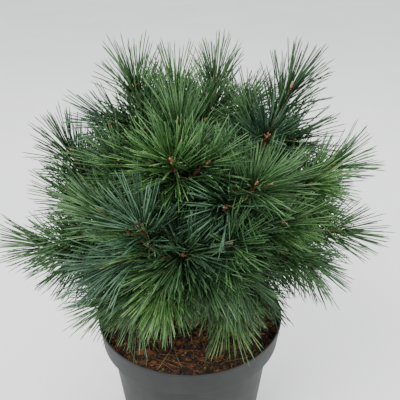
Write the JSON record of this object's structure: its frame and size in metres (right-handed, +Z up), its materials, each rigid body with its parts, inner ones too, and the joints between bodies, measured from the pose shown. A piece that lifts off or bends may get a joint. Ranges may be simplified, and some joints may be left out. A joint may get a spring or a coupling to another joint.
{
  "type": "potted dwarf white pine",
  "caption": "Round dwarf white pine with a short trunk, whorled boughs and long soft needles, growing in a round tapered nursery pot with a collar.",
  "frame": {"origin": "centre of the pot's flat underside", "axes": "+Z up along the pot's axis, the front of the plant faces -Y, +X to the right seen from the front"},
  "size_m": [0.4504, 0.3845, 0.5189],
  "materials": {
    "pot": "matt dark grey moulded plastic",
    "soil": "moist crumbly potting soil with litter",
    "bark": "rough grey-brown bark",
    "needles": "green needles with a slight sheen"
  },
  "bodies": {
    "root": {"pot": "pot", "soil": "soil", "trunk": "bark", "bough_back": "bark", "bough_back_left": "bark", "bough_back_low": "bark", "bough_back_low_left": "bark", "bough_back_low_right": "bark", "bough_back_right": "bark", "bough_centre": "bark", "bough_far_left": "bark", "bough_front": "bark", "bough_front_centre": "bark", "bough_front_droop": "bark", "bough_front_low": "bark", "bough_front_right": "bark", "bough_inner": "bark", "bough_left": "bark", "bough_left_centre": "bark", "bough_left_low": "bark", "bough_left_mid": "bark", "bough_left_upper": "bark", "bough_right_back": "bark", "bough_right_centre": "bark", "bough_right_front": "bark", "bough_right_low": "bark", "bough_right_upper": "bark", "bough_top_back": "bark", "bough_top_front": "bark", "bough_top_left": "bark", "bough_top_right": "bark", "back": "needles", "back_left": "needles", "back_low": "needles", "back_low_left": "needles", "back_low_right": "needles", "back_right": "needles", "centre": "needles", "crown_top": "needles", "far_left": "needles", "front": "needles", "front_centre": "needles", "front_droop": "needles", "front_low": "needles", "front_right": "needles", "inner": "needles", "left": "needles", "left_centre": "needles", "left_low": "needles", "left_mid": "needles", "left_upper": "needles", "right_back": "needles", "right_centre": "needles", "right_front": "needles", "right_low": "needles", "right_upper": "needles", "top_back": "needles", "top_front": "needles", "top_left": "needles", "top_right": "needles"}
  },
  "joints": []
}
